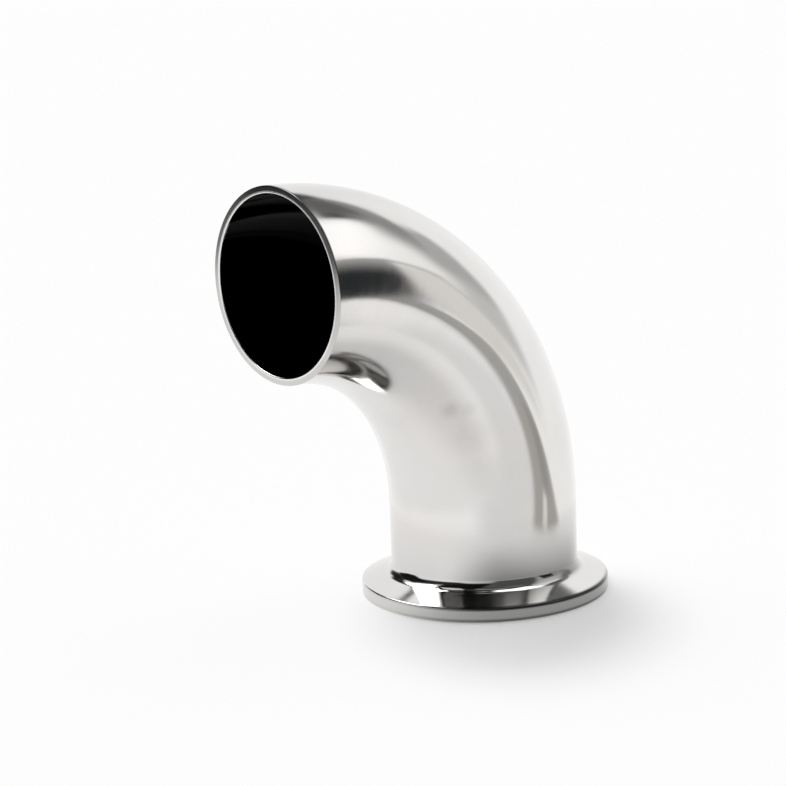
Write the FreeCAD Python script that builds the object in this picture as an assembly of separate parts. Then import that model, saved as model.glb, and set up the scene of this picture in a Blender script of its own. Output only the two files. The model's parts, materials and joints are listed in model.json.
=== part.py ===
import FreeCAD, Part
import math
import os
from FreeCAD import Vector

# Sanitary ninety degree elbow: a thin bent tube, butt-welded to a turned clamp ferrule.
# Sizes are millimetres and degrees. The origin is the centre of the ferrule's sealing face,
# +Z runs up the ferrule into the elbow, and the tube's open weld end faces +X.

# Driving dimensions of the tube
tube_od = 38.1
tube_wall = 1.5
bend_radius = 50.8
bend_angle = 90.0
tangent_length = 6.35
mouth_edge_break = 0.2

# Driving dimensions of the clamp ferrule
ferrule_length = 12.7
flange_reach = 6.2
flange_rim_height = 2.85
clamp_seat_slope = 20.0
neck_fillet = 2.5
flange_rim_round = 0.35

# Driving dimensions of the gasket groove in the sealing face
groove_inset = 3.45
groove_radius = 2.3
groove_depth = 1.6

# What follows from them
tube_r = tube_od / 2
bore_r = tube_r - tube_wall
flange_r = tube_r + flange_reach
groove_r = flange_r - groove_inset
bend_start_z = ferrule_length + tangent_length
up = Vector(0, 0, 1)
bend_centre = Vector(bend_radius, 0, bend_start_z)
bend_axis = Vector(0, 1, 0)


def rounded_outline(corners):
    """Closed face in the XZ plane through corners of (x, z, radius), each turned in its own arc."""
    points = [Vector(x, 0, z) for x, z, radius in corners]
    edges = []
    starts = []
    ends = []
    for i, (x, z, radius) in enumerate(corners):
        point = points[i]
        back = (points[i - 1] - point).normalize()
        ahead = (points[(i + 1) % len(points)] - point).normalize()
        if radius == 0:
            starts.append(point)
            ends.append(point)
            continue
        half = back.getAngle(ahead) / 2
        inset = radius / math.tan(half)
        middle = point + (back + ahead).normalize() * (radius / math.sin(half) - radius)
        starts.append(point + back * inset)
        ends.append(point + ahead * inset)
        edges.append(Part.Arc(starts[i], middle, ends[i]).toShape())
    for i, end in enumerate(ends):
        edges.append(Part.makeLine(end, starts[(i + 1) % len(starts)]))
    return Part.Face(Part.Wire(Part.__sortEdges__(edges)))


def clamp_ferrule():
    """Turned ferrule: neck, clamp flange with its sloped seat, bore and gasket groove."""
    seat_top_z = flange_rim_height + flange_reach * math.tan(math.radians(clamp_seat_slope))
    section = rounded_outline([
        (bore_r, 0, 0),
        (flange_r, 0, flange_rim_round),
        (flange_r, flange_rim_height, flange_rim_round),
        (tube_r, seat_top_z, neck_fillet),
        (tube_r, ferrule_length, 0),
        (bore_r, ferrule_length, 0),
    ])
    body = section.revolve(Vector(0, 0, 0), up, 360)
    groove_centre = Vector(0, 0, groove_depth - groove_radius)
    groove = Part.makeTorus(groove_r, groove_radius, groove_centre, up)
    return body.cut(groove)


def tube_section():
    """Ring that the tube's wall fills, on top of the ferrule."""
    foot = Vector(0, 0, ferrule_length)
    outside = Part.Wire(Part.makeCircle(tube_r, foot, up))
    inside = Part.Wire(Part.makeCircle(bore_r, foot, up))
    return Part.Face(outside).cut(Part.Face(inside))


def elbow_tube():
    """Tube with a short straight foot and the bend, faced square at its weld end."""
    section = tube_section()
    foot = section.extrude(up * tangent_length)
    section.translate(up * tangent_length)
    bend = section.revolve(bend_centre, bend_axis, bend_angle)
    tube = foot.fuse(bend).removeSplitter()
    turn = FreeCAD.Rotation(bend_axis, bend_angle)
    mouth_centre = bend_centre + turn.multVec(Vector(-bend_radius, 0, 0))
    mouth_edges = [edge for edge in tube.Edges if is_circle_at(edge, mouth_centre)]
    return tube.makeFillet(mouth_edge_break, mouth_edges)


def is_circle_at(edge, centre):
    """True for a round edge that is centred on the given point."""
    return isinstance(edge.Curve, Part.Circle) and edge.Curve.Center.distanceToPoint(centre) < 0.001


os.makedirs("parts", exist_ok=True)
for name, shape in {"elbow_tube": elbow_tube(), "clamp_ferrule": clamp_ferrule()}.items():
    shape.exportStep(f"parts/{name}.step")
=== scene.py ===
"""Looks of a sanitary ninety degree elbow: a thin bent tube, butt-welded to a turned clamp ferrule.

Sizes are metres and angles are degrees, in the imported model's frame: the origin is the centre of the
ferrule's sealing face, +Z runs up the ferrule and the tube's open weld end faces +X.
"""

import json
import logging
import math
from collections.abc import Callable, Sequence
from dataclasses import dataclass, field
from enum import Enum

import bpy
import numpy as np
from mathutils import Matrix, Vector


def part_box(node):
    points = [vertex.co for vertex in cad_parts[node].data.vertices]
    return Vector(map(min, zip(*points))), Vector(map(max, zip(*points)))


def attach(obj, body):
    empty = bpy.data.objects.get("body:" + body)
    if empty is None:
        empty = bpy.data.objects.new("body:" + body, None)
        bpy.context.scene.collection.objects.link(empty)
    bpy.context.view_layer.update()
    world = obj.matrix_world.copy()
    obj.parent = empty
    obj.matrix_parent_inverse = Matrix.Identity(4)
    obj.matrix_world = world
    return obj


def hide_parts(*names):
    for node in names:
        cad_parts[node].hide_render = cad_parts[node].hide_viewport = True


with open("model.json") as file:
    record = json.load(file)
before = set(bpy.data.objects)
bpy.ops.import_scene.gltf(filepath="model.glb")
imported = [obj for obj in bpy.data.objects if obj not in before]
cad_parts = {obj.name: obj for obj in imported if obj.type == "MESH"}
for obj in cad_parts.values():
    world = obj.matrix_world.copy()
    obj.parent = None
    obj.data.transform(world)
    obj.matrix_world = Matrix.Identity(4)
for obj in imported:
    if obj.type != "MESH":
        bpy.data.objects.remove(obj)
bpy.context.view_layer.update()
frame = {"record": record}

MM = 0.001
# keeps a face from passing the CAD box by a rounding error
HAIR = 0.0001 * MM
# lengths that differ by less than this are the same
TINY = 0.001 * MM
BODY = "root"
# direction of the camera from the elbow
CAMERA_SIDE = 139.9

Colour = tuple[float, float, float]
Span = tuple[float, float]
Socket = bpy.types.NodeSocket
Tree = bpy.types.NodeTree
Inputs = dict[str, object] | Sequence[object]

BLACK: Colour = (0.0, 0.0, 0.0)
WHITE: Colour = (1.0, 1.0, 1.0)
VECTOR = "NodeSocketVector"

log = logging.getLogger("elbow")


class Zone(Enum):
    """Shares, stored on a mesh's points, by which a surface is finished differently or carries painted shade
    and highlights.

    The foot zone is painted shade: it darkens the foot above the flange, and also the lines along the rim and
    the square-cut lip.
    """

    DEPTH = "painted_bore_shade"
    TURNED_SHADED = "turned_rim_and_shade"
    PAINTED_SHADE = "painted_shade"
    SMUDGE = "smudges"
    WORN_LIT = "worn_edge_highlight"


@dataclass
class Bench:
    """A node tree with short calls that add nodes, join them and give their output sockets.

    Attributes:
        tree: material, world or group tree.
    """

    tree: Tree

    @classmethod
    def cleared(cls, owner: bpy.types.Material | bpy.types.World) -> "Bench":
        """Empties a node tree.

        Args:
            owner: the material or world that has it.

        Returns:
            The bench for the tree.
        """
        owner.use_nodes = True
        owner.node_tree.nodes.clear()
        return cls(owner.node_tree)

    def add(self, kind: str, inputs: Inputs = (), **settings: object) -> bpy.types.Node:
        """Adds one node.

        Args:
            kind: Blender's name of the node type.
            inputs: what fills its inputs, by their names or in their order.
            settings: attributes to set on the node.

        Returns:
            The new node.
        """
        node = self.tree.nodes.new(kind)
        for name, value in settings.items():
            setattr(node, name, value)
        for key, value in inputs.items() if isinstance(inputs, dict) else enumerate(inputs):
            self.put(node.inputs[key], value)
        return node

    def out(self, kind: str, inputs: Inputs = (), **settings: object) -> Socket:
        """Adds one node, as add does, and gives its first output."""
        return self.add(kind, inputs, **settings).outputs[0]

    def put(self, socket: Socket, value: object) -> None:
        """Links a socket to another one, or sets its plain value.

        Args:
            socket: the input to fill.
            value: an output socket, a number, a vector or a colour.
        """
        if isinstance(value, Socket):
            self.tree.links.new(value, socket)
        elif socket.type == "RGBA":
            socket.default_value = (*value, 1)
        else:
            socket.default_value = value

    def math(self, operation: str, *values: object, clamp: bool = False) -> Socket:
        """Works out one number, which clamp keeps between 0 and 1."""
        return self.out("ShaderNodeMath", values, operation=operation, use_clamp=clamp)

    def times(self, a: object, b: object) -> Socket:
        """Product of two numbers."""
        return self.math("MULTIPLY", a, b)

    def dot(self, a: object, b: object) -> Socket:
        """Dot product of two vectors."""
        return self.add("ShaderNodeVectorMath", (a, b), operation="DOT_PRODUCT").outputs["Value"]

    def length(self, a: Socket, b: Socket) -> Socket:
        """Length of two sides taken together."""
        return self.math("SQRT", self.math("ADD", self.times(a, a), self.times(b, b)))

    def step(self, value: object, start: object, end: object) -> Socket:
        """A ramp that eases from 0 at start to 1 at end, whichever of them is larger."""
        values = {"Value": value, "From Min": start, "From Max": end}
        return self.out("ShaderNodeMapRange", values, interpolation_type="SMOOTHSTEP")

    def spread(self, value: object, low: float, high: float) -> Socket:
        """Maps a number between 0 and 1 to one between low and high."""
        return self.out("ShaderNodeMapRange", {"Value": value, "To Min": low, "To Max": high})

    def noise(self, place: object, scale: object, detail: float, rough: float) -> Socket:
        """Smooth noise between about 0 and 1, with detail finer layers that are each rough as strong."""
        values = {"Vector": place, "Scale": scale, "Detail": detail, "Roughness": rough}
        return self.out("ShaderNodeTexNoise", values)

    def vector(self, *parts: object) -> Socket:
        """A vector of three numbers."""
        return self.out("ShaderNodeCombineXYZ", parts)

    def blend(self, share: object, a: object, b: object) -> Socket:
        """Mixes two colours.

        Args:
            share: how much of the second colour shows, 0 to 1.
            a: first colour.
            b: second colour.

        Returns:
            The mixed colour.
        """
        node = self.add("ShaderNodeMix", {"Factor": share}, data_type="RGBA")
        for socket, colour in zip([s for s in node.inputs if s.type == "RGBA"], (a, b)):
            self.put(socket, colour)
        return next(socket for socket in node.outputs if socket.type == "RGBA")

    def mix(self, share: Socket, first: Socket, second: Socket) -> Socket:
        """Mixes two shaders, of which the second one shows by its share."""
        return self.out("ShaderNodeMixShader", (share, first, second))

    def share(self, zone: Zone) -> Socket:
        """Share of a zone, as the mesh stores it."""
        return self.add("ShaderNodeAttribute", attribute_name=zone.value).outputs["Fac"]

    def group(self, tree: Tree, **values: object) -> bpy.types.Node:
        """Places a group and fills its inputs, whose names have underscores here for spaces."""
        inputs = {name.replace("_", " "): value for name, value in values.items()}
        return self.add("ShaderNodeGroup", inputs, node_tree=tree)


class Effect(Bench):
    """A shader node group with named inputs and outputs, built once and shared by the materials."""

    def __init__(self, name: str) -> None:
        """Makes the empty group.

        Args:
            name: the group's name.
        """
        super().__init__(bpy.data.node_groups.new(name, "ShaderNodeTree"))
        self.entry = self.add("NodeGroupInput")
        self.exit = self.add("NodeGroupOutput")

    def takes(self, name: str, kind: str = "NodeSocketFloat") -> Socket:
        """Adds an input and gives the socket that holds it inside the group."""
        self.tree.interface.new_socket(name, in_out="INPUT", socket_type=kind)
        return self.entry.outputs[name]

    def gives(self, name: str, value: Socket) -> None:
        """Adds an output that shows a number from inside the group."""
        self.tree.interface.new_socket(name, in_out="OUTPUT", socket_type="NodeSocketFloat")
        self.put(self.exit.inputs[name], value)


@dataclass(frozen=True)
class Panel:
    """Soft-edged rectangle of light or shade, which the elbow sees in the room or on the floor.

    In the room all its lengths are degrees, and on the floor they are millimetres.

    Attributes:
        across: where its middle is: azimuth in the room, to the camera's right of the elbow on the floor.
        along: elevation of its middle in the room, towards the camera on the floor.
        half_width: from its middle to its left and right edges.
        half_height: from its middle to its low and high edges.
        tone: its light, where 1 is white.
        tilt: turn of its width towards its height, in degrees.
        fade: width of the soft left, right, low and high edges.
    """

    across: float
    along: float
    half_width: float
    half_height: float
    tone: Colour
    tilt: float = 0.0
    fade: tuple[float, float, float, float] = (6.0, 6.0, 6.0, 6.0)


class PanelMask(Effect):
    """Group that masks a soft-edged panel, in a flat place X, Y that is counted from its middle."""

    EDGES = {"Left": ("X", -1), "Right": ("X", 1), "Low": ("Y", -1), "High": ("Y", 1)}

    def __init__(self) -> None:
        """Builds the group, in which Whole is the share of the panel that shows."""
        super().__init__("panel_mask")
        place = {axis: self.takes(axis) for axis in "XY"}
        mask = self.takes("Whole")
        for name, (axis, _) in self.EDGES.items():
            edge = self.step(place[axis], self.takes(f"{name} Start"), self.takes(f"{name} End"))
            mask = self.times(mask, edge)
        self.gives("Mask", mask)

    def mask(self, bench: Bench, panel: Panel, place: Sequence[Socket], whole: Socket,
             measure: Callable[[float], float]) -> Socket:
        """Masks a panel.

        Args:
            bench: the node tree that needs it.
            panel: the panel.
            place: flat place, counted from the panel's middle.
            whole: share of the panel that shows.
            measure: turns the panel's lengths into those of the flat place.

        Returns:
            The mask.
        """
        values = {"X": place[0], "Y": place[1], "Whole": whole}
        for (name, (axis, sign)), fade in zip(self.EDGES.items(), panel.fade):
            half = panel.half_width if axis == "X" else panel.half_height
            values[f"{name}_Start"] = sign * measure(half + fade / 2)
            values[f"{name}_End"] = sign * measure(half - fade / 2)
        return bench.group(self.tree, **values).outputs["Mask"]


def polish_lines_effect() -> Tree:
    """Fine marks that a polishing belt leaves round a tube or a turned piece.

    Returns:
        A group that takes the wrap map's Place, the Lines on one millimetre and the streaks' Stretch,
        and gives a Height and a slow Band tone.
    """
    slow = 0.16
    effect = Effect("polish_lines")
    place = effect.takes("Place", VECTOR)
    lines = effect.takes("Lines")
    stretch = effect.takes("Stretch")
    parts = effect.add("ShaderNodeSeparateXYZ", (place,))
    turn = effect.times(parts.outputs["X"], 2 * math.pi)
    across = effect.times(effect.math("COSINE", turn), stretch)
    round_ = effect.times(effect.math("SINE", turn), stretch)
    along = effect.times(effect.math("DIVIDE", parts.outputs["Y"], MM), lines)
    effect.gives("Height", effect.noise(effect.vector(across, round_, along), 1.0, detail=3.0, rough=0.6))
    along = effect.times(along, slow)
    effect.gives("Band", effect.noise(effect.vector(across, round_, along), 1.0, detail=2.0, rough=0.5))
    return effect.tree


def handling_effect() -> Tree:
    """Faint uneven patches that polishing and handling leave on bright steel.

    Returns:
        A group that takes a Place in metres and the patches' Size in metres, and gives a soft Patch mask,
        a finer Mottle and a small warm share, Tint.
    """
    finer = 6.0
    wider = 0.8
    elsewhere = (0.31, 0.17, 0.53)
    effect = Effect("handling_marks")
    place = effect.takes("Place", VECTOR)
    scale = effect.math("DIVIDE", 1.0, effect.takes("Size"))
    patch = effect.noise(place, scale, detail=2.0, rough=0.5)
    effect.gives("Patch", effect.step(patch, start=0.42, end=0.66))
    effect.gives("Mottle", effect.noise(place, effect.times(scale, finer), detail=3.0, rough=0.6))
    moved = effect.out("ShaderNodeVectorMath", (place, elsewhere), operation="ADD")
    warm = effect.noise(moved, effect.times(scale, wider), detail=1.0, rough=0.5)
    effect.gives("Tint", effect.step(warm, start=0.35, end=0.68))
    return effect.tree


def edge_effect() -> Tree:
    """Uneven bright line where an edge was broken by hand and then handled, lightened further as a painted
    highlight.

    Returns:
        A group that takes the edge's Share and a Mottle, and gives the Worn mask.
    """
    effect = Effect("broken_edge_highlight")
    share = effect.takes("Share")
    mottle = effect.takes("Mottle")
    uneven = effect.spread(effect.step(mottle, start=0.3, end=0.7), low=0.45, high=1.0)
    effect.gives("Worn", effect.math("MULTIPLY", share, uneven, clamp=True))
    return effect.tree


@dataclass(frozen=True)
class SteelFinish:
    """Bright stainless steel with belt marks, soft patches, and painted shade in the bore, at the foot, on
    the rim and where it mirrors itself.

    Attributes:
        name: the material's name.
        steel: colour of the clean metal.
        warm: colour of the patches where the polish looks warmer.
        dulled: colour that the dull patches tend to.
        bore: painted shade: the colour deep inside the bore, which gets no light.
        turned: colour of a rim that is left as turned, dark as painted shade.
        smudged: colour of the smudges that handling left.
        edge: colour of a worn edge, lighter as a painted highlight.
        dull: how far the dull patches tend to their colour.
        rough: roughness where the polish is best.
        rough_patch: how much rougher the patches are.
        rough_fine: how much the roughness varies with the mottle.
        rough_streak: how much it varies with the belt's bands.
        rough_turned: how much rougher a turned rim is.
        rough_worn: how much rougher a worn edge is.
        lines: polish marks on one millimetre along the surface.
        stretch: how much shorter than the whole turn a mark is.
        groove: depth of the marks in metres.
        patch: size of the soft patches in metres.
        third_loss: painted shade: how far the colour darkens where steel is mirrored in steel a third time.
        all_lost: height below which that painted shade is black, and height above which it is third_loss.
    """

    name: str
    steel: Colour = (0.745, 0.745, 0.735)
    warm: Colour = (0.75, 0.728, 0.706)
    dulled: Colour = (0.447, 0.447, 0.441)
    bore: Colour = (0.004, 0.004, 0.005)
    turned: Colour = (0.36, 0.365, 0.355)
    smudged: Colour = (0.60, 0.575, 0.55)
    edge: Colour = (0.86, 0.86, 0.85)
    dull: float = 0.09
    rough: float = 0.085
    rough_patch: float = 0.035
    rough_fine: float = 0.03
    rough_streak: float = 0.05
    rough_turned: float = 0.12
    rough_worn: float = 0.06
    lines: float = 4.0
    stretch: float = 2.2
    groove: float = 0.0000012
    patch: float = 0.016
    third_loss: float = 0.8
    all_lost: Span = (20 * MM, 35 * MM)

    # ray depth of light that was mirrored twice before
    MIRRORED_TWICE = 1.5

    def material(self, lines: Tree, marks: Tree, edge: Tree) -> bpy.types.Material:
        """Builds the material.

        Args:
            lines: the polish lines group.
            marks: the handling marks group.
            edge: the broken edge group.

        Returns:
            The finished material.
        """
        material = bpy.data.materials.new(self.name)
        bench = Bench.cleared(material)
        place = bench.add("ShaderNodeTexCoord").outputs["Object"]
        wrap = bench.out("ShaderNodeUVMap", uv_map=Skin.WRAP)
        belt = bench.group(lines, Place=wrap, Lines=self.lines, Stretch=self.stretch)
        handled = bench.group(marks, Place=place, Size=self.patch)
        patch, mottle = handled.outputs["Patch"], handled.outputs["Mottle"]
        turned = bench.share(Zone.TURNED_SHADED)
        worn = bench.group(edge, Share=bench.share(Zone.WORN_LIT), Mottle=mottle).outputs["Worn"]
        uneven = bench.spread(bench.step(mottle, start=0.35, end=0.65), low=0.65, high=1.1)
        smudge = bench.math("MULTIPLY", bench.share(Zone.SMUDGE), uneven, clamp=True)
        # painted shade: steel mirrored in steel a third time darkens, to black near the foot
        depth = bench.add("ShaderNodeLightPath").outputs["Ray Depth"]
        again = bench.math("GREATER_THAN", depth, self.MIRRORED_TWICE)
        height = bench.add("ShaderNodeSeparateXYZ", (place,)).outputs["Z"]
        loss = bench.spread(bench.step(height, *self.all_lost), low=1.0, high=self.third_loss)

        colour = bench.blend(bench.spread(handled.outputs["Tint"], low=0.4, high=1.0), self.steel, self.warm)
        layers = (
            (bench.times(patch, self.dull), self.dulled),
            (smudge, self.smudged),
            # painted shade deep in the bore
            (bench.share(Zone.DEPTH), self.bore),
            # a rim left as turned, darkened as painted shade on one side
            (turned, self.turned),
            # worn edges, lightened as a painted highlight
            (worn, self.edge),
            # painted shade at the foot, along the rim's edges and on the lip
            (bench.share(Zone.PAINTED_SHADE), BLACK),
            (bench.times(again, loss), BLACK),
        )
        for share, tone in layers:
            colour = bench.blend(share, colour, tone)

        roughness = bench.math("MULTIPLY_ADD", patch, self.rough_patch, self.rough)
        rises = (
            (bench.math("SUBTRACT", mottle, 0.5), self.rough_fine),
            (bench.math("SUBTRACT", belt.outputs["Band"], 0.5), self.rough_streak),
            (turned, self.rough_turned),
            (worn, self.rough_worn),
        )
        for share, rise in rises:
            roughness = bench.math("MULTIPLY_ADD", share, rise, roughness)

        bump = {"Strength": 1.0, "Distance": self.groove, "Height": belt.outputs["Height"]}
        steel = {"Base Color": colour, "Roughness": roughness, "Metallic": 1.0,
                 "Normal": bench.out("ShaderNodeBump", bump)}
        bench.add("ShaderNodeOutputMaterial", {"Surface": bench.out("ShaderNodeBsdfPrincipled", steel)})
        return material


@dataclass
class Outline:
    """Closed outline of a wall in the plane of radius and height, walked with the metal on its left.

    Attributes:
        start: radius and height of its first point.
        rows: one row for each corner or arc point: radius, height, and the normal on either side of it.
    """

    start: Span
    rows: list[tuple[float, float, Vector, Vector]] = field(default_factory=list)

    def line(self, end: Span, steps: int = 1) -> None:
        """Adds a straight run from the last point, with its own normal at both ends.

        Args:
            end: radius and height of its last point.
            steps: how many bands it is cut into.
        """
        a = Vector(self.rows[-1][:2] if self.rows else self.start)
        b = Vector(end)
        ahead = (b - a).normalized()
        for i in range(steps + 1):
            self._add(a.lerp(b, i / steps), Vector((ahead.y, -ahead.x)))

    def arc(self, centre: Span, radius: float, start: float, end: float, steps: int = 8) -> None:
        """Adds an arc.

        Args:
            centre: radius and height of the arc's centre.
            radius: the arc's radius.
            start: angle of its first point from the outward direction, in degrees.
            end: angle of its last point, larger than start on a round edge and smaller in a hollow.
            steps: how many bands it is cut into.
        """
        outward = 1.0 if end > start else -1.0
        for i in range(steps + 1):
            angle = math.radians(start + (end - start) * i / steps)
            spoke = Vector((math.cos(angle), math.sin(angle)))
            self._add(Vector(centre) + spoke * radius, spoke * outward)

    def _add(self, point: Vector, normal: Vector) -> None:
        """Adds a point, or joins it to the last one if they are the same point.

        Args:
            point: its radius and height.
            normal: where the wall faces there.
        """
        if self.rows:
            radius, height, before, _ = self.rows[-1]
            if (Vector((radius, height)) - point).length < TINY:
                self.rows[-1] = (radius, height, before, normal)
                return
        self.rows.append((point.x, point.y, normal, normal))

    def closed(self) -> "Outline":
        """Joins the last point to the first one.

        Returns:
            The outline.
        """
        radius, height, before, _ = self.rows[-1]
        first = self.rows[0]
        if math.hypot(radius - first[0], height - first[1]) < TINY:
            self.rows.pop()
            self.rows[0] = (first[0], first[1], before, first[3])
        return self


@dataclass
class Path:
    """Centreline of the elbow: straight up, round the bend, and straight into the weld end's face.

    Attributes:
        bend_start: height at which the bend starts.
        bend_radius: radius of the bend's centreline.
        end_straight: short run behind the weld end's face in which the wall is square to it.
    """

    bend_start: float
    bend_radius: float
    end_straight: float = 0.0

    @property
    def length(self) -> float:
        """Height of the weld end's face along the centreline."""
        return self.bend_start + self.bend_radius * math.pi / 2

    def at(self, height: float) -> tuple[Vector, float]:
        """Place and turn of the centreline.

        Args:
            height: distance along the centreline from the ferrule's sealing face.

        Returns:
            The point, and the angle in radians that the centreline has turned from +Z towards +X.
        """
        if height <= self.bend_start:
            return Vector((0, 0, height)), 0.0
        left = self.length - height
        if left < self.end_straight:
            top = self.bend_start + self.bend_radius
            return Vector((self.bend_radius - left, 0, top)), math.pi / 2
        turn = (height - self.bend_start) / self.bend_radius
        return Vector((self.bend_radius * (1 - math.cos(turn)), 0,
                       self.bend_start + self.bend_radius * math.sin(turn))), turn


class Skin:
    """Closed mesh that follows an outline round an axis or a path, with exact normals and a wrap map."""

    WRAP = "wrap"

    def __init__(self, outline: Outline, path: Path, columns: int) -> None:
        """Works out the rings.

        Args:
            outline: the wall's closed outline.
            path: centreline that the outline's heights follow.
            columns: points round each ring.
        """
        self.outline = outline
        self.columns = columns
        turns = [2 * math.pi * i / columns for i in range(columns)]
        self.points: list[Vector] = []
        self.before: list[Vector] = []
        self.after: list[Vector] = []
        for radius, height, before, after in outline.rows:
            centre, bent = path.at(height)
            tangent = Vector((math.sin(bent), 0, math.cos(bent)))
            inward = Vector((math.cos(bent), 0, -math.sin(bent)))
            for turn in turns:
                spoke = inward * math.cos(turn) + Vector((0, math.sin(turn), 0))
                self.points.append(centre + spoke * radius)
                self.before.append(spoke * before.x + tangent * before.y)
                self.after.append(spoke * after.x + tangent * after.y)

    def lengths(self) -> list[float]:
        """Distance of each ring along the outline, with the whole length at the end."""
        places = np.array([row[:2] for row in self.outline.rows])
        return [0.0, *np.cumsum(np.linalg.norm(np.roll(places, -1, axis=0) - places, axis=1))]

    def share(self, rule: Callable[[float, float], float]) -> np.ndarray:
        """Share of every point, by a rule for the radius and height of its ring."""
        return np.repeat([float(rule(row[0], row[1])) for row in self.outline.rows], self.columns)

    def mesh(self, name: str, shares: dict[Zone, np.ndarray]) -> bpy.types.Mesh:
        """Makes the mesh.

        Args:
            name: the mesh's name.
            shares: for each zone, the share of every point.

        Returns:
            The mesh, with its normals, its wrap map and its zones.
        """
        count, columns = len(self.outline.rows), self.columns
        walked = self.lengths()
        faces, wraps, normals = [], [], []
        for i in range(count):
            ring, ahead = i * columns, (i + 1) % count * columns
            for j in range(columns):
                side = (j + 1) % columns
                faces.append((ring + j, ring + side, ahead + side, ahead + j))
                wraps += [(j / columns, walked[i]), ((j + 1) / columns, walked[i]),
                          ((j + 1) / columns, walked[i + 1]), (j / columns, walked[i + 1])]
                normals += [self.after[ring + j], self.after[ring + side],
                            self.before[ahead + side], self.before[ahead + j]]
        mesh = bpy.data.meshes.new(name)
        mesh.from_pydata(self.points, [], faces)
        mesh.polygons.foreach_set("use_smooth", [True] * len(faces))
        wrap = mesh.uv_layers.new(name=self.WRAP)
        wrap.data.foreach_set("uv", np.array(wraps, np.float32).ravel())
        for zone in Zone:
            store = mesh.attributes.new(zone.value, "FLOAT", "POINT")
            share = shares.get(zone, np.zeros(count * columns))
            store.data.foreach_set("value", share.astype(np.float32))
        mesh.normals_split_custom_set(normals)
        mesh.update()
        return mesh


def soft_step(value: np.ndarray, start: float, end: float) -> np.ndarray:
    """A ramp that eases from 0 at start to 1 at end, whichever of them is larger."""
    share = np.clip((value - start) / (end - start), 0, 1)
    return share * share * (3 - 2 * share)


@dataclass(frozen=True)
class FootShade:
    """Painted shade: darker steel from the hollow up past the weld, strongest on one side of the elbow.

    Attributes:
        strength: its share at the hollow's upper end.
        hollow: height of the hollow's upper end.
        bottom: heights in the hollow between which it sets in.
        reach: how far it fades out upwards.
        fall: how much faster it fades at first.
        weak: its share on the side where little shade is painted.
        rises: directions between which it grows to full strength, in degrees.
        falls: the same from the other side.
    """

    strength: float = 0.62
    hollow: float = 6.8 * MM
    bottom: Span = (4.4 * MM, 5.4 * MM)
    reach: float = 13 * MM
    fall: float = 1.5
    weak: float = 0.15
    rises: Span = (110.0, 150.0)
    falls: Span = (235.0, 200.0)

    def around(self, points: np.ndarray) -> np.ndarray:
        """Share of each point, a row of places, by its direction from the ferrule's axis."""
        azimuth = np.degrees(np.arctan2(points[:, 0], -points[:, 1])) % 360
        return self.weak + (1 - self.weak) * soft_step(azimuth, *self.rises) * soft_step(azimuth, *self.falls)

    def shares(self, points: np.ndarray) -> np.ndarray:
        """Share of each point.

        Args:
            points: places in metres, one a row.

        Returns:
            One number for each point.
        """
        height = points[:, 2]
        above = np.clip(1 - (height - self.hollow) / self.reach, 0, 1) ** self.fall
        below = soft_step(height, *self.bottom)
        return self.strength * np.where(height < self.hollow, below, above) * self.around(points)


def finished_piece(name: str, mesh: bpy.types.Mesh, material: bpy.types.Material, node: str) -> None:
    """Puts a mesh in the scene in place of its CAD node.

    Args:
        name: the piece's name.
        mesh: its mesh.
        material: its finish.
        node: CAD node that it stands for.
    """
    piece = bpy.data.objects.new(name, mesh)
    bpy.context.scene.collection.objects.link(piece)
    mesh.materials.append(material)
    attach(piece, BODY)
    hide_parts(node)
    log.info("%s: %d points, %d faces, in place of %s", name, len(mesh.vertices), len(mesh.polygons), node)


def bore_radius() -> float:
    """Radius of the bore, which the record's bore mounts share."""
    bores = [m for m in frame["record"]["mounts"] if m["kind"] == "bore"]
    return bores[0]["dims"]["r_mm"] * MM


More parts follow.
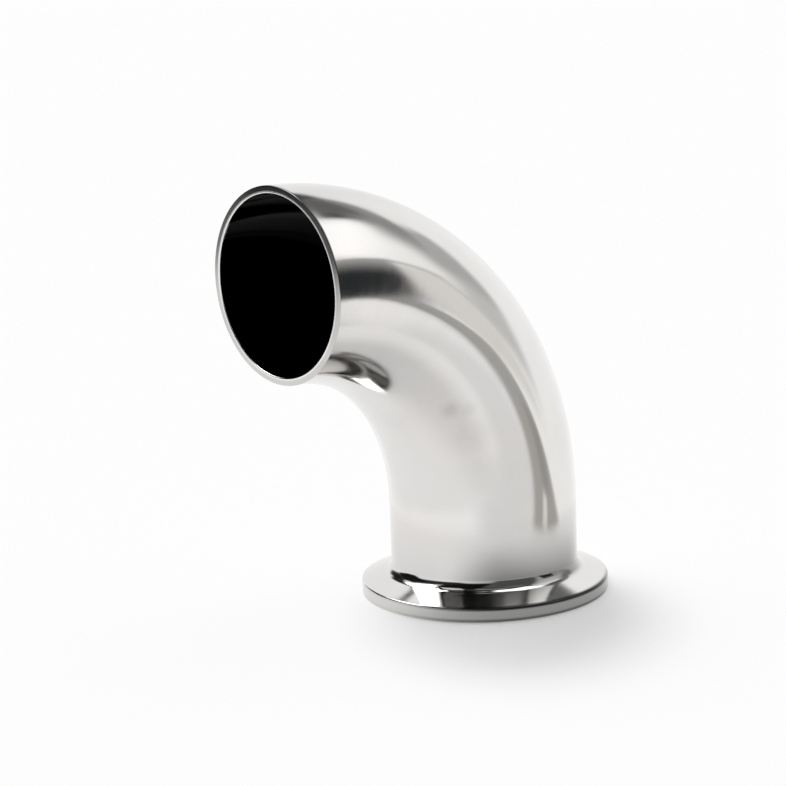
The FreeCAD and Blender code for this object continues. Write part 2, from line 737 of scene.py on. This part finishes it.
@dataclass
class ElbowTube:
    """Bent tube with a short straight foot and a square-cut weld end.

    Attributes:
        outer: outside radius.
        bore: inside radius.
        foot: height at which the tube meets the ferrule.
        bend_radius: radius of the bend's centreline.
        bend_start: height at which the bend starts.
        mouth_break: rounding of the weld end's two edges.
        columns: points round the tube.
        bend_rings: rings along the bend outside.
        bore_rings: rings along the bend inside.
        darkens: share of the bend over which the bore grows dark with painted shade.
        lip_worn: width of the worn part of the lip, beside the bore, which carries a painted highlight.
        lip_dark: darkness of the painted shade on the rest of the lip, low down and high up.
        lip_heights: heights between which it grows.
        smudges: marks that handling left: the place of each one's middle, its size, and its share.
    """

    outer: float
    bore: float
    foot: float
    bend_radius: float
    bend_start: float
    mouth_break: float = 0.2 * MM
    columns: int = 224
    bend_rings: int = 168
    bore_rings: int = 72
    darkens: float = 0.35
    lip_worn: float = 0.5 * MM
    lip_dark: Span = (0.2, 0.78)
    lip_heights: Span = (66 * MM, 78 * MM)
    smudges: tuple[tuple[float, ...], ...] = (
        (20.5 * MM, 14.4 * MM, 42.8 * MM, 3.4 * MM, 0.85),
        (18.0 * MM, 15.7 * MM, 42.4 * MM, 3.0 * MM, 0.5),
        (16.5 * MM, 15.0 * MM, 36.5 * MM, 6.5 * MM, 0.35),
        (12.5 * MM, 15.0 * MM, 29.0 * MM, 7.0 * MM, 0.3),
    )

    @classmethod
    def from_frame(cls) -> "ElbowTube":
        """Reads the tube's sizes from its CAD node and the bore mounts.

        Returns:
            The tube.
        """
        low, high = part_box("elbow_tube")
        bend_radius = high.x - HAIR
        return cls(outer=high.y, bore=bore_radius(), foot=low.z, bend_radius=bend_radius,
                   bend_start=high.z - high.y - bend_radius)

    def path(self) -> Path:
        """Centreline of the tube."""
        return Path(self.bend_start, self.bend_radius, end_straight=2 * self.mouth_break)

    def outline(self) -> Outline:
        """Wall of the tube.

        Returns:
            Its outline, with heights measured along the centreline.
        """
        end = self.path().length
        square = end - 2 * self.mouth_break
        edge = self.mouth_break
        outline = Outline((self.bore, self.foot))
        outline.line((self.outer, self.foot))
        outline.line((self.outer, self.bend_start), steps=12)
        outline.line((self.outer, square), self.bend_rings)
        outline.line((self.outer, end - edge))
        outline.arc((self.outer - edge, end - edge), edge, 0, 90)
        outline.line((self.bore + edge, end), steps=6)
        outline.arc((self.bore + edge, end - edge), edge, 90, 180)
        outline.line((self.bore, square))
        outline.line((self.bore, self.bend_start), self.bore_rings)
        outline.line((self.bore, self.foot), steps=6)
        return outline.closed()

    def depth(self, radius: float, height: float) -> float:
        """How much painted shade darkens a ring of the wall.

        Args:
            radius: the ring's radius.
            height: its distance along the centreline.

        Returns:
            0 outside, at the lip and in the straight foot, growing to 1 in the bend's bore.
        """
        end = self.path().length
        if radius > self.bore + TINY or height > end - self.mouth_break + TINY:
            return 0.0
        share = (height - self.bend_start) / (self.darkens * (end - self.bend_start))
        return min(max(share, 0.0), 1.0)

    def build(self, material: bpy.types.Material) -> None:
        """Makes the tube and dresses it.

        Args:
            material: its finish.
        """
        skin = Skin(self.outline(), self.path(), self.columns)
        points = np.array(skin.points)
        smudges = [share * (1 - soft_step(np.linalg.norm(points - centre, axis=1), 0.0, size))
                   for *centre, size, share in self.smudges]
        lip_start = self.path().length - self.mouth_break - TINY
        inner = self.bore + self.lip_worn
        low, high = self.lip_dark
        # painted shade on the lip outside its worn part, darker high up
        lip_shade = skin.share(lambda radius, height: height > lip_start and radius > inner)
        lip_shade = lip_shade * (low + (high - low) * soft_step(points[:, 2], *self.lip_heights))
        mesh = skin.mesh("elbow_tube_skin", {
            Zone.DEPTH: skin.share(self.depth),
            Zone.SMUDGE: np.max(smudges, axis=0),
            Zone.WORN_LIT: skin.share(lambda radius, height: height > lip_start and radius < inner),
            # painted shade at the foot and on the lip
            Zone.PAINTED_SHADE: np.maximum(FootShade().shares(points), lip_shade),
        })
        finished_piece("bent_tube", mesh, material, "elbow_tube")


@dataclass
class ClampFerrule:
    """Turned ferrule with a clamp flange, a sloped clamp seat and a gasket groove in its sealing face.

    Attributes:
        neck: outside radius of the neck.
        bore: inside radius.
        flange: radius of the flange's rim.
        height: height of the ferrule.
        rim_height: height of the flange's rim below the clamp seat.
        slope: angle of the clamp seat in degrees.
        fillet: radius of the hollow between seat and neck.
        rim_round: rounding of the rim's edges.
        groove_inset: distance from the rim to the middle of the gasket groove.
        groove_radius: radius of the groove's section.
        groove_depth: depth of the groove.
        columns: points round the ferrule.
        edge_width: width of the flange's outermost part, with the rim and its roundings.
        rim_shade: where round the rim the painted shade shows, on the turned rim and its dark lines.
        rim_lines: dark lines of painted shade along the rim: the darkness of each, and the heights between
            which it grows.
    """

    neck: float
    bore: float
    flange: float
    height: float
    rim_height: float = 2.85 * MM
    slope: float = 20.0
    fillet: float = 2.5 * MM
    rim_round: float = 0.35 * MM
    groove_inset: float = 3.45 * MM
    groove_radius: float = 2.3 * MM
    groove_depth: float = 1.6 * MM
    columns: int = 288
    edge_width: float = 0.3 * MM
    rim_shade: FootShade = FootShade(weak=0.12, rises=(80.0, 145.0), falls=(240.0, 205.0))
    rim_lines: tuple[tuple[float, ...], ...] = ((0.95, 2.2 * MM, 2.55 * MM), (0.8, 0.9 * MM, 0.2 * MM))

    @classmethod
    def from_frame(cls) -> "ClampFerrule":
        """Reads the ferrule's sizes from the CAD nodes and the bore mounts."""
        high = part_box("clamp_ferrule")[1]
        return cls(neck=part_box("elbow_tube")[1].y, bore=bore_radius(), flange=high.x, height=high.z)

    def outline(self) -> Outline:
        """Section of the ferrule.

        Returns:
            Its outline.
        """
        slope = math.radians(self.slope)
        round_ = self.rim_round
        seat_top = self.rim_height + (self.flange - self.neck) * math.tan(slope)
        # the rim's upper rounding lies between the upright rim and the seat, and the fillet between the
        # seat and the upright neck
        inset = math.tan(math.radians(45 - self.slope / 2))
        upper_z = self.rim_height - round_ * inset
        fillet_centre = (self.neck + self.fillet, seat_top + self.fillet * inset)
        seat_in = (fillet_centre[0] - self.fillet * math.sin(slope),
                   fillet_centre[1] - self.fillet * math.cos(slope))
        groove_x = self.flange - self.groove_inset
        groove_z = self.groove_depth - self.groove_radius
        half = math.degrees(math.acos(-groove_z / self.groove_radius))
        lip = self.groove_radius * math.sin(math.radians(half))

        outline = Outline((self.bore, 0))
        outline.line((groove_x - lip, 0), steps=2)
        outline.arc((groove_x, groove_z), self.groove_radius, 90 + half, 90 - half, steps=20)
        outline.line((self.flange - round_, 0), steps=2)
        outline.arc((self.flange - round_, round_), round_, -90, 0)
        outline.line((self.flange, upper_z), steps=16)
        outline.arc((self.flange - round_, upper_z), round_, 0, 90 - self.slope)
        outline.line(seat_in, steps=8)
        outline.arc(fillet_centre, self.fillet, 270 - self.slope, 180, steps=20)
        outline.line((self.neck, self.height), steps=8)
        outline.line((self.bore, self.height))
        outline.line((self.bore, 0), steps=8)
        return outline.closed()

    def build(self, material: bpy.types.Material) -> None:
        """Makes the ferrule and dresses it.

        Args:
            material: its finish.
        """
        # the ferrule lies on the straight part of this path
        path = Path(bend_start=2 * self.height, bend_radius=1.0)
        skin = Skin(self.outline(), path, self.columns)
        points = np.array(skin.points)
        around = self.rim_shade.around(points)
        rim = skin.share(lambda radius, _: radius > self.flange - TINY)
        edge = skin.share(lambda radius, _: radius > self.flange - self.edge_width)
        # painted shade: dark lines along the rim's upper and lower edges, strong on one side
        lines = [dark * soft_step(points[:, 2], *heights) for dark, *heights in self.rim_lines]
        mesh = skin.mesh("clamp_ferrule_skin", {
            # the turned rim, its dark colour painted shade that is strong on one side only
            Zone.TURNED_SHADED: rim * around,
            # the rim's rounded edges: wear and a painted highlight
            Zone.WORN_LIT: edge * (1 - rim),
            Zone.PAINTED_SHADE: np.maximum(FootShade().shares(points), edge * around * np.max(lines, axis=0)),
        })
        finished_piece("turned_ferrule", mesh, material, "clamp_ferrule")


def direction(azimuth: float, elevation: float) -> Vector:
    """Unit vector of a view direction, where azimuth 0 is -Y and 90 is +X, in degrees."""
    a, e = math.radians(azimuth), math.radians(elevation)
    return Vector((math.sin(a) * math.cos(e), -math.cos(a) * math.cos(e), math.sin(e)))


def turned_axes(level: Vector, above: Vector, angle: float) -> tuple[Vector, Vector]:
    """Turns two square axes by an angle in degrees, the first one towards the second."""
    c, s = math.cos(math.radians(angle)), math.sin(math.radians(angle))
    return level * c + above * s, above * c - level * s


def grey(tone: float, warmth: float = 0.0) -> Colour:
    """A grey of that tone, with warmth taken from its blue and half as much from its green."""
    return (tone, tone * (1 - warmth / 2), tone * (1 - warmth))


@dataclass
class StudioRoom:
    """What the polished steel reflects: bright walls, two large soft boxes, and the dark side of the room.

    Attributes:
        masker: the panel mask group.
        walls: tone of the plain walls.
        large: panels that cover the walls and light the floor, the last one on top.
        fine: panels over those, which only the steel mirrors.
    """

    masker: PanelMask
    walls: Colour = grey(1.06)
    large: tuple[Panel, ...] = (
        # wall straight behind the elbow, which its outline mirrors
        Panel(-40, 5, 16, 42, grey(0.97), fade=(16, 16, 20, 10)),
        # large soft box behind the elbow
        Panel(30, 58, 24, 16, grey(5.0), fade=(8, 3, 5, 6)),
        # dark room behind the camera
        Panel(132, 52, 42, 40, grey(0.01), fade=(6, 4, 14, 10)),
        Panel(50, 22, 58, 14, grey(0.03), fade=(8, 16, 14, 8)),
        Panel(175, 26, 28, 32, grey(0.22), fade=(10, 10, 10, 4)),
        # ceiling light over the camera's right
        Panel(-107, 72, 15, 12, grey(2.8), tilt=-17, fade=(4, 8, 4, 6)),
    )
    fine: tuple[Panel, ...] = (
        # grey ceiling below that light, and its paler part over the camera
        Panel(-173, 54, 9, 4.5, grey(0.52), fade=(8, 9, 3, 3)),
        Panel(152, 66.5, 13, 4, grey(0.62), fade=(6, 6, 3, 4)),
        # dark doorway that the weld end faces
        Panel(36, 13.6, 18, 19.3, grey(0.01), tilt=-27, fade=(6, 8, 1.2, 6)),
        # dark corners above the wall opposite the camera
        Panel(-2, 29, 14, 9, grey(0.01), tilt=-28, fade=(4, 6, 4, 5)),
        Panel(-22, 41.6, 5, 1.3, grey(0.06), fade=(4, 4, 1.5, 1.5)),
        Panel(-78, 46.5, 13, 6, grey(0.04), fade=(6, 8, 4, 6)),
        Panel(-50, 40.2, 12, 4.2, grey(0.06), tilt=-28, fade=(8, 4, 3, 5)),
        # grey gap between wall and ceiling, in lengths that darken towards the top
        Panel(-111, 8, 13, 7, grey(0.66, 0.02), tilt=45, fade=(14, 10, 6, 10)),
        Panel(-100, 23, 13, 8, grey(0.50, 0.01), tilt=52, fade=(12, 10, 6, 10)),
        Panel(-86, 39, 18, 6, grey(0.31), tilt=24, fade=(22, 8, 3, 6)),
        Panel(-75, 47, 10, 6, grey(0.14), tilt=6, fade=(12, 6, 3, 6)),
        # bright corner above it
        Panel(-124, 40, 17, 11, grey(1.34), tilt=40, fade=(6, 10, 15, 6)),
        # pale board beside the dark upright, with its shaded round edge
        Panel(-129, 3, 8, 12, grey(0.84, 0.05), fade=(2, 6, 4, 5)),
        Panel(-125, 15.5, 6, 1.0, grey(0.62), tilt=-38, fade=(3, 3, 1.5, 2)),
        Panel(-120.5, 6, 7, 0.8, grey(0.66), tilt=-78, fade=(4, 4, 2, 2)),
        # dark upright, lighter towards its top
        Panel(-142, 5, 8, 18, grey(0.50), tilt=-20, fade=(3, 1.5, 2, 2)),
        Panel(-144, 2.2, 9, 15.8, grey(0.025, -0.2), tilt=-22, fade=(3, 1.5, 1.2, 18)),
        # floor in the elbow's own shade
        Panel(172, -34, 36, 24, grey(0.86), fade=(30, 14, 14, 14)),
        Panel(-95, -60, 16, 14, grey(0.86), fade=(16, 16, 16, 16)),
    )

    def panel_view_effect(self) -> Tree:
        """Flat place of a view direction on a panel.

        Returns:
            A group that takes a Direction and the panel's own axes, and gives the place X, Y on it, in
            tangents from its middle, and whether it lies Ahead.
        """
        least = 0.01
        effect = Effect("panel_view")
        ray, middle, sideways, upward = (
            effect.takes(name, VECTOR) for name in ("Direction", "Middle", "Sideways", "Upward"))
        ahead = effect.dot(ray, middle)
        depth = effect.math("MAXIMUM", ahead, least)
        effect.gives("X", effect.math("DIVIDE", effect.dot(ray, sideways), depth))
        effect.gives("Y", effect.math("DIVIDE", effect.dot(ray, upward), depth))
        effect.gives("Ahead", effect.step(ahead, start=least, end=0.1))
        return effect.tree

    def build(self) -> None:
        """Makes the world: the large panels light the scene, and the steel mirrors all of them."""
        world = bpy.data.worlds.new("studio_room")
        bench = Bench.cleared(world)
        path = bench.add("ShaderNodeLightPath")
        ray = bench.add("ShaderNodeTexCoord").outputs["Generated"]
        views = self.panel_view_effect()
        layers = []
        colour = self.walls
        for panels in (self.large, self.fine):
            for panel in panels:
                level = direction(panel.across + 90, 0)
                above = direction(panel.across, panel.along + 90)
                sideways, upward = turned_axes(level, above, panel.tilt)
                view = bench.group(views, Direction=ray, Middle=direction(panel.across, panel.along),
                                   Sideways=sideways, Upward=upward).outputs
                mask = self.masker.mask(bench, panel, (view["X"], view["Y"]), view["Ahead"],
                                          lambda angle: math.tan(math.radians(angle)))
                colour = bench.blend(mask, colour, panel.tone)
            layers.append(colour)
        lit, mirrored = layers
        seen = bench.blend(path.outputs["Is Camera Ray"], lit, WHITE)
        plain, full = (bench.out("ShaderNodeBackground", {"Color": light}) for light in (seen, mirrored))
        surface = bench.mix(path.outputs["Is Glossy Ray"], plain, full)
        bench.add("ShaderNodeOutputWorld", {"Surface": surface})
        bpy.context.scene.world = world
        log.info("studio room: %d panels", len(self.large) + len(self.fine))


@dataclass
class Floor:
    """Plain pale floor that keeps the elbow's soft shadow.

    Attributes:
        masker: the panel mask group.
        radius: how far it reaches.
        paint: how much of the light it gives back.
        glow: plain light that brings it up to the backdrop's white for the camera.
        backdrop: tone of the white backdrop that it passes into.
        passes: share of the backdrop far from the elbow.
        mirrored: share of the backdrop that the steel sees at least.
        heart: middle of the shadow, to the camera's right of the elbow and towards the camera.
        squeeze: how much narrower than deep the shadow is.
        fades: distances from its middle between which it passes into the backdrop.
        reach: distances from the elbow between which the room takes the floor's place in the steel.
        strips: dark strips beside the picture that only the steel mirrors, as painted reflections.
        columns: corners of its round edge.
    """

    masker: PanelMask
    radius: float = 3.0
    paint: Colour = (0.8, 0.8, 0.8)
    glow: float = 0.18
    backdrop: float = 0.985
    passes: float = 0.88
    mirrored: float = 0.3
    heart: Span = (7 * MM, 20 * MM)
    squeeze: float = 1.6
    fades: Span = (24 * MM, 64 * MM)
    reach: Span = (70 * MM, 85 * MM)
    strips: tuple[Panel, ...] = (
        # painted reflections, which only the steel sees: a dark table edge, its darker middle, and the gap at
        # its end
        Panel(208, 50, 143, 26, grey(0.46, 0.05), tilt=11.5, fade=(9, 9, 11, 11)),
        Panel(150, 30, 50, 10, grey(0.37, 0.05), tilt=8, fade=(30, 30, 14, 14)),
        Panel(84, 27, 15, 4.5, grey(0.86, 0.03), tilt=4, fade=(8, 8, 5, 5)),
    )
    columns: int = 96

    def laid(self, bench: Bench, place: Socket, glossy: Socket, shader: Socket) -> Socket:
        """Lays the painted reflection strips on the floor, for the steel only.

        Args:
            bench: the material's node tree.
            place: the place on the floor.
            glossy: whether the steel mirrors it.
            shader: the floor below the strips.

        Returns:
            The covered floor's shader.
        """
        toward = direction(CAMERA_SIDE, 0)
        right = direction(CAMERA_SIDE + 90, 0)
        for strip in self.strips:
            middle = (right * strip.across + toward * strip.along) * MM
            away = bench.out("ShaderNodeVectorMath", (place, middle), operation="SUBTRACT")
            flat = [bench.dot(away, axis) for axis in turned_axes(right, toward, strip.tilt)]
            mask = self.masker.mask(bench, strip, flat, glossy, lambda length: length * MM)
            shader = bench.mix(mask, shader, bench.out("ShaderNodeEmission", {"Color": strip.tone}))
        return shader

    def material(self) -> bpy.types.Material:
        """Matt white paint with a plain glow for what is seen or mirrored.

        Returns:
            The floor's material.
        """
        material = bpy.data.materials.new("pale_floor")
        bench = Bench.cleared(material)
        path = bench.add("ShaderNodeLightPath")
        glossy = path.outputs["Is Glossy Ray"]
        seen = bench.math("ADD", path.outputs["Is Camera Ray"], glossy, clamp=True)
        seen = bench.math("ADD", seen, path.outputs["Is Transmission Ray"], clamp=True)
        paint = bench.out("ShaderNodeBsdfDiffuse", {"Color": self.paint})
        glow, white = (bench.out("ShaderNodeEmission", {"Strength": bench.times(seen, light)})
                       for light in (self.glow, self.backdrop))
        painted = bench.out("ShaderNodeAddShader", (paint, glow))

        place = bench.add("ShaderNodeTexCoord").outputs["Object"]
        right = bench.dot(place, direction(CAMERA_SIDE + 90, 0))
        toward = bench.dot(place, direction(CAMERA_SIDE, 0))
        aside = bench.times(bench.math("SUBTRACT", right, self.heart[0]), self.squeeze)
        shadow = bench.length(aside, bench.math("SUBTRACT", toward, self.heart[1]))
        passed = bench.times(bench.step(shadow, *self.fades), self.passes)
        mirrored = bench.times(glossy, self.mirrored)
        kept = bench.times(*(bench.math("SUBTRACT", 1.0, share) for share in (passed, mirrored)))
        away = bench.times(bench.step(bench.length(right, toward), *self.reach), glossy)
        shader = bench.mix(kept, white, painted)
        shader = bench.mix(away, shader, bench.out("ShaderNodeBsdfTransparent"))
        shader = self.laid(bench, place, glossy, shader)
        bench.add("ShaderNodeOutputMaterial", {"Surface": shader})
        return material

    def build(self) -> None:
        """Makes the floor."""
        edge = [Vector((math.cos(a), math.sin(a), 0)) * self.radius
                for a in np.linspace(0, 2 * math.pi, self.columns, endpoint=False)]
        mesh = bpy.data.meshes.new("floor")
        mesh.from_pydata(edge, [], [tuple(range(self.columns))])
        mesh.materials.append(self.material())
        floor = bpy.data.objects.new("floor", mesh)
        bpy.context.scene.collection.objects.link(floor)
        log.info("floor: %.1f m in radius", self.radius)


@dataclass
class PhotoCamera:
    """Camera at the photograph's viewing angle.

    Attributes:
        azimuth: direction of the camera from the elbow, in degrees.
        elevation: height of the camera above the horizon, in degrees.
        roll: turn about the line of sight, in degrees.
        distance: from the camera to the aim.
        aim: shift of the aim to the right and upwards, from a height on the ferrule's axis.
        lens: focal length in millimetres.
        sensor: width of the sensor in millimetres.
        clip: nearest and farthest distance that it sees.
    """

    azimuth: float = CAMERA_SIDE
    elevation: float = 12.2
    roll: float = -2.1
    distance: float = 530 * MM
    aim: tuple[float, float, float] = (-17.5 * MM, -3.5 * MM, 45 * MM)
    lens: float = 120.0
    sensor: float = 36.0
    clip: Span = (10 * MM, 20.0)

    def build(self) -> None:
        """Makes the camera and sets it on the scene."""
        back = direction(self.azimuth, self.elevation)
        level = direction(self.azimuth + 90, 0)
        above = back.cross(level)
        right, up = turned_axes(level, above, self.roll)
        shift_right, shift_up, height = self.aim
        aim = Vector((0, 0, height)) + level * shift_right + above * shift_up
        data = bpy.data.cameras.new("photo_camera")
        data.lens = self.lens
        data.sensor_width = self.sensor
        data.clip_start, data.clip_end = self.clip
        camera = bpy.data.objects.new("photo_camera", data)
        bpy.context.scene.collection.objects.link(camera)
        turn = Matrix((right, up, back)).transposed().to_4x4()
        camera.matrix_world = Matrix.Translation(aim + back * self.distance) @ turn
        bpy.context.scene.camera = camera


def main() -> None:
    """Builds the studio and the elbow's two pieces, in the order in which they are set up."""
    logging.basicConfig(level=logging.INFO, format="%(name)s: %(message)s")
    bpy.context.scene.view_settings.view_transform = "Standard"
    PhotoCamera().build()
    masker = PanelMask()
    StudioRoom(masker).build()
    Floor(masker).build()
    groups = polish_lines_effect(), handling_effect(), edge_effect()
    ElbowTube.from_frame().build(SteelFinish("polished_tube_steel").material(*groups))
    turned = SteelFinish("turned_ferrule_steel", rough=0.07, lines=6.0, stretch=1.2, patch=0.02)
    ClampFerrule.from_frame().build(turned.material(*groups))


if __name__ == "__main__":
    main()
